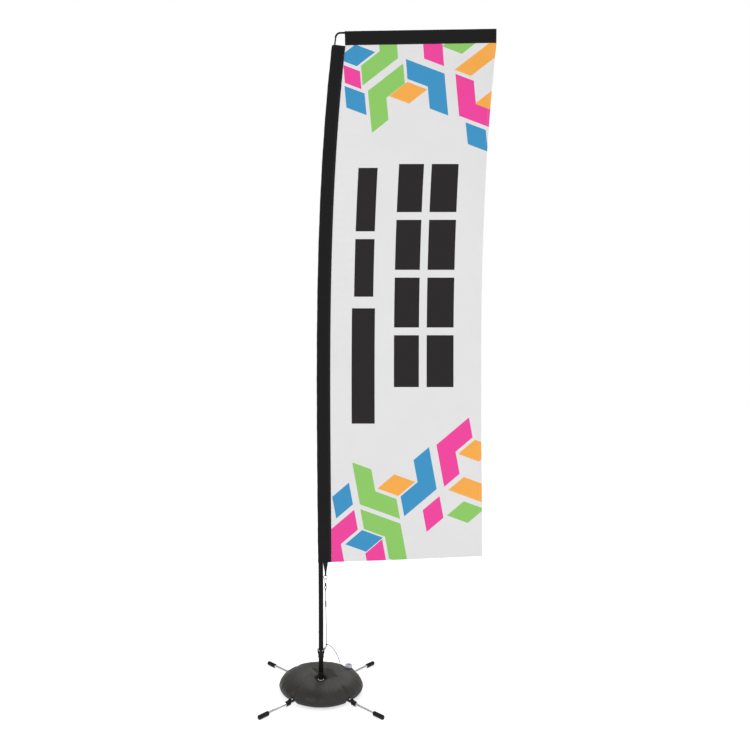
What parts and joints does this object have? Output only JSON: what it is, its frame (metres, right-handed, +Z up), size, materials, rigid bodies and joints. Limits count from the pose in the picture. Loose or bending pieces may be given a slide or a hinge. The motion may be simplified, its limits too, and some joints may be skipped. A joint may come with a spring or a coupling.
{
  "type": "block banner flag with pole and cross base",
  "caption": "Rectangular banner in black pockets on a bowed sectional pole that turns on a folding cross base with a water bag.",
  "frame": {"origin": "on the ground under the crossing of the legs, on the axis the pole turns about", "axes": "+Z up along the pole, +X from the pole towards the free edge of the flag, +Y behind the flag"},
  "size_m": [1.2166, 0.6074, 3.4381],
  "materials": {
    "black_tube": "black anodised tube, satin",
    "black_plastic": "moulded black plastic",
    "chrome": "bright plated steel",
    "steel": "zinc plated steel",
    "nylon": "natural nylon",
    "black_cloth": "black woven polyester pocket",
    "panel_cloth": "light knitted polyester, dye printed",
    "webbing": "black polypropylene webbing",
    "cord": "dark grey braided cord",
    "bag_vinyl": "coated fabric, dark warm grey, satin",
    "white_plastic": "white moulded plastic"
  },
  "bodies": {
    "base": {"hub_foot": "black_plastic", "lower_leg_bar": "chrome", "lower_leg_cap_a": "black_plastic", "lower_leg_cap_b": "black_plastic", "lower_bag_loop_a": "webbing", "lower_bag_loop_b": "webbing", "clamp_bolt": "steel", "hub_washer": "steel", "spindle": "steel", "spindle_clip": "steel", "bearing_inner_race": "steel", "water_bag": "bag_vinyl", "valve_neck": "white_plastic"},
    "upper_legs": {"upper_leg_bar": "chrome", "upper_leg_cap_a": "black_plastic", "upper_leg_cap_b": "black_plastic", "upper_bag_loop_a": "webbing", "upper_bag_loop_b": "webbing"},
    "rotor": {"pole_section_1": "black_tube", "pole_section_2": "black_tube", "pole_section_3": "black_tube", "pole_section_4": "black_tube", "corner_elbow": "black_tube", "top_rod": "black_tube", "pole_boot": "black_plastic", "pole_ferrule_1": "black_plastic", "pole_ferrule_2": "black_plastic", "pole_ferrule_3": "black_plastic", "rod_end_cap": "black_plastic", "hook_swivel": "black_plastic", "cord_tape": "black_plastic", "tie_off_collar": "black_plastic", "rotor_flange": "chrome", "collar_rivet_left": "chrome", "collar_rivet_right": "chrome", "bearing_outer_race": "steel", "bearing_balls": "steel", "rotor_tube": "steel", "strap_ring": "steel", "snap_hook": "steel", "spindle_bush": "nylon", "side_sleeve": "black_cloth", "top_sleeve": "black_cloth", "flag_panel": "panel_cloth", "tension_strap": "webbing", "cord_top_knot": "cord", "cord_foot_knot": "cord", "tension_cord": "cord", "cord_tail": "cord", "cord_loop": "cord"},
    "valve_cap": {"valve_cap": "white_plastic"},
    "spring_button": {"spring_button": "chrome"},
    "hook_gate": {"hook_gate": "steel"}
  },
  "joints": [
    {"name": "leg_fold", "type": "hinge", "parent": "base", "child": "upper_legs", "pos_m": [0, 0, 0.0276], "axis": [0, 0, 1], "range_deg": [0, 72]},
    {"name": "flag_spin", "type": "hinge", "parent": "base", "child": "rotor", "pos_m": [0, 0, 0.0518], "axis": [0, 0, 1], "continuous": true},
    {"name": "valve_cap_turn", "type": "hinge", "parent": "base", "child": "valve_cap", "pos_m": [0.148, 0.098, 0.08], "axis": [0, 0, 1], "range_deg": [0, 540]},
    {"name": "button_press", "type": "slide", "parent": "rotor", "child": "spring_button", "axis": [1, 0, 0], "range_m": [0, 0.003], "stiffness_N_per_m": 400},
    {"name": "gate_open", "type": "hinge", "parent": "rotor", "child": "hook_gate", "pos_m": [0.02862, 0.00502, 0.5619], "axis": [0.7071, -0.7071, 0], "range_deg": [0, 30], "stiffness_Nm_per_rad": 0.02}
  ]
}
